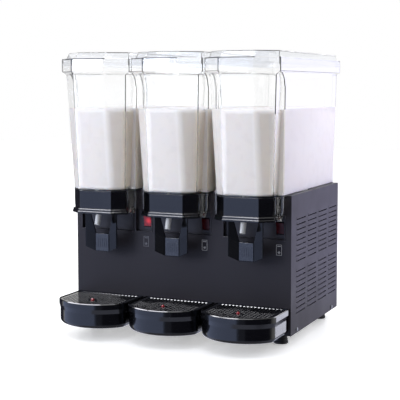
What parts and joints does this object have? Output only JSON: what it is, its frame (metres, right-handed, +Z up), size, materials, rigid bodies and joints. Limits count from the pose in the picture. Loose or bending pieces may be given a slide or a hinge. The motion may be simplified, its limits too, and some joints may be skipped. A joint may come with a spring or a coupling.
{
  "type": "cold drink dispenser",
  "caption": "Counter-top cold drink dispenser: clear faceted bowls with lids on a louvred black case, push-lever taps, rocker switches and half-round drip trays with grids and floats.",
  "frame": {"origin": "under the middle of the whole machine, on the surface that its feet stand on", "axes": "+Z up, -Y towards the taps and the person who serves, +X to that person's right"},
  "size_m": [0.544, 0.525, 0.6515],
  "materials": {
    "case_black": "satin black powder coat",
    "case_steel": "galvanised sheet",
    "deck_steel": "stainless",
    "strip_plastic": "dark grey moulding",
    "foot_rubber": "matt",
    "screw_steel": "zinc plated",
    "clear_plastic": "clear polycarbonate",
    "white_silicone": "soft white silicone",
    "white_plastic": "food-safe white",
    "gloss_black": "gloss black",
    "black_plastic": "satin black",
    "red_plastic": "red, lit from behind in the switches",
    "plant_steel": "black enamel",
    "condenser_aluminium": "plain fins"
  },
  "bodies": {
    "case": {"base_pan": "case_black", "front_panel": "case_black", "control_strip": "strip_plastic", "side_panel_left": "case_black", "side_panel_right": "case_black", "rear_panel": "case_black", "top_deck": "deck_steel", "feet": "foot_rubber", "panel_screws": "screw_steel", "lever_pins": "deck_steel", "switch_bezels": "strip_plastic", "mixer_motors": "plant_steel", "compressor": "plant_steel", "condenser": "condenser_aluminium", "fan_shroud": "case_steel", "fan_motor": "plant_steel", "thermostat": "black_plastic", "power_inlet": "black_plastic", "cradle_left": "gloss_black", "spout_left": "white_silicone", "lever_spring_left": "screw_steel", "cooling_column_left": "deck_steel", "bowl_gasket_left": "white_silicone", "cradle_middle": "gloss_black", "spout_middle": "white_silicone", "lever_spring_middle": "screw_steel", "cooling_column_middle": "deck_steel", "bowl_gasket_middle": "white_silicone", "cradle_right": "gloss_black", "spout_right": "white_silicone", "lever_spring_right": "screw_steel", "cooling_column_right": "deck_steel", "bowl_gasket_right": "white_silicone"},
    "fan": {"fan_blade": "black_plastic"},
    "knob": {"thermostat_knob": "black_plastic"},
    "bowl_left": {"bowl_left": "clear_plastic"},
    "lid_left": {"lid_left": "clear_plastic"},
    "agitator_left": {"agitator_left": "white_plastic"},
    "tap_lever_left": {"tap_lever_left": "gloss_black"},
    "drip_tray_left": {"drip_tray_left": "gloss_black"},
    "drip_grid_left": {"drip_grid_left": "black_plastic"},
    "float_left": {"float_left": "red_plastic"},
    "switch_rocker_left": {"switch_rocker_left": "red_plastic"},
    "bowl_middle": {"bowl_middle": "clear_plastic"},
    "lid_middle": {"lid_middle": "clear_plastic"},
    "agitator_middle": {"agitator_middle": "white_plastic"},
    "tap_lever_middle": {"tap_lever_middle": "gloss_black"},
    "drip_tray_middle": {"drip_tray_middle": "gloss_black"},
    "drip_grid_middle": {"drip_grid_middle": "black_plastic"},
    "float_middle": {"float_middle": "red_plastic"},
    "switch_rocker_middle": {"switch_rocker_middle": "red_plastic"},
    "bowl_right": {"bowl_right": "clear_plastic"},
    "lid_right": {"lid_right": "clear_plastic"},
    "agitator_right": {"agitator_right": "white_plastic"},
    "tap_lever_right": {"tap_lever_right": "gloss_black"},
    "drip_tray_right": {"drip_tray_right": "gloss_black"},
    "drip_grid_right": {"drip_grid_right": "black_plastic"},
    "float_right": {"float_right": "red_plastic"},
    "switch_rocker_right": {"switch_rocker_right": "red_plastic"}
  },
  "joints": [
    {"name": "bowl_lift_left", "type": "slide", "parent": "case", "child": "bowl_left", "axis": [0, 0, 1], "range_m": [0, 0.18]},
    {"name": "lid_lift_left", "type": "slide", "parent": "bowl_left", "child": "lid_left", "axis": [0, 0, 1], "range_m": [0, 0.08]},
    {"name": "agitator_spin_left", "type": "hinge", "parent": "case", "child": "agitator_left", "pos_m": [-0.18, 0.0275, 0.476], "axis": [0, 0, 1], "continuous": true},
    {"name": "tap_press_left", "type": "hinge", "parent": "case", "child": "tap_lever_left", "pos_m": [-0.18, -0.1525, 0.306], "axis": [1, 0, 0], "range_deg": [0, 14], "stiffness_Nm_per_rad": 2.5, "springref_deg": -17.19, "deforming": ["lever_spring_left"]},
    {"name": "tray_pull_left", "type": "slide", "parent": "case", "child": "drip_tray_left", "axis": [0, -1, 0], "range_m": [0, 0.12]},
    {"name": "grid_lift_left", "type": "slide", "parent": "drip_tray_left", "child": "drip_grid_left", "axis": [0, 0, 1], "range_m": [0, 0.06]},
    {"name": "float_rise_left", "type": "slide", "parent": "drip_tray_left", "child": "float_left", "axis": [0, 0, 1], "range_m": [0, 0.008]},
    {"name": "switch_left", "type": "hinge", "parent": "case", "child": "switch_rocker_left", "pos_m": [-0.086, -0.1105, 0.2625], "axis": [1, 0, 0], "range_deg": [-14, 0]},
    {"name": "bowl_lift_middle", "type": "slide", "parent": "case", "child": "bowl_middle", "axis": [0, 0, 1], "range_m": [0, 0.18]},
    {"name": "lid_lift_middle", "type": "slide", "parent": "bowl_middle", "child": "lid_middle", "axis": [0, 0, 1], "range_m": [0, 0.08]},
    {"name": "agitator_spin_middle", "type": "hinge", "parent": "case", "child": "agitator_middle", "pos_m": [0, 0.0275, 0.476], "axis": [0, 0, 1], "continuous": true},
    {"name": "tap_press_middle", "type": "hinge", "parent": "case", "child": "tap_lever_middle", "pos_m": [0, -0.1525, 0.306], "axis": [1, 0, 0], "range_deg": [0, 14], "stiffness_Nm_per_rad": 2.5, "springref_deg": -17.19, "deforming": ["lever_spring_middle"]},
    {"name": "tray_pull_middle", "type": "slide", "parent": "case", "child": "drip_tray_middle", "axis": [0, -1, 0], "range_m": [0, 0.12]},
    {"name": "grid_lift_middle", "type": "slide", "parent": "drip_tray_middle", "child": "drip_grid_middle", "axis": [0, 0, 1], "range_m": [0, 0.06]},
    {"name": "float_rise_middle", "type": "slide", "parent": "drip_tray_middle", "child": "float_middle", "axis": [0, 0, 1], "range_m": [0, 0.008]},
    {"name": "switch_middle", "type": "hinge", "parent": "case", "child": "switch_rocker_middle", "pos_m": [0.0625, -0.1105, 0.2625], "axis": [1, 0, 0], "range_deg": [-14, 0]},
    {"name": "bowl_lift_right", "type": "slide", "parent": "case", "child": "bowl_right", "axis": [0, 0, 1], "range_m": [0, 0.18]},
    {"name": "lid_lift_right", "type": "slide", "parent": "bowl_right", "child": "lid_right", "axis": [0, 0, 1], "range_m": [0, 0.08]},
    {"name": "agitator_spin_right", "type": "hinge", "parent": "case", "child": "agitator_right", "pos_m": [0.18, 0.0275, 0.476], "axis": [0, 0, 1], "continuous": true},
    {"name": "tap_press_right", "type": "hinge", "parent": "case", "child": "tap_lever_right", "pos_m": [0.18, -0.1525, 0.306], "axis": [1, 0, 0], "range_deg": [0, 14], "stiffness_Nm_per_rad": 2.5, "springref_deg": -17.19, "deforming": ["lever_spring_right"]},
    {"name": "tray_pull_right", "type": "slide", "parent": "case", "child": "drip_tray_right", "axis": [0, -1, 0], "range_m": [0, 0.12]},
    {"name": "grid_lift_right", "type": "slide", "parent": "drip_tray_right", "child": "drip_grid_right", "axis": [0, 0, 1], "range_m": [0, 0.06]},
    {"name": "float_rise_right", "type": "slide", "parent": "drip_tray_right", "child": "float_right", "axis": [0, 0, 1], "range_m": [0, 0.008]},
    {"name": "switch_right", "type": "hinge", "parent": "case", "child": "switch_rocker_right", "pos_m": [0.2415, -0.1105, 0.2625], "axis": [1, 0, 0], "range_deg": [-14, 0]},
    {"name": "fan_spin", "type": "hinge", "parent": "case", "child": "fan", "pos_m": [0.14, 0.1545, 0.14], "axis": [0, 1, 0], "continuous": true},
    {"name": "knob_turn", "type": "hinge", "parent": "case", "child": "knob", "pos_m": [-0.2, 0.2405, 0.285], "axis": [0, 1, 0], "range_deg": [0, 270]}
  ]
}
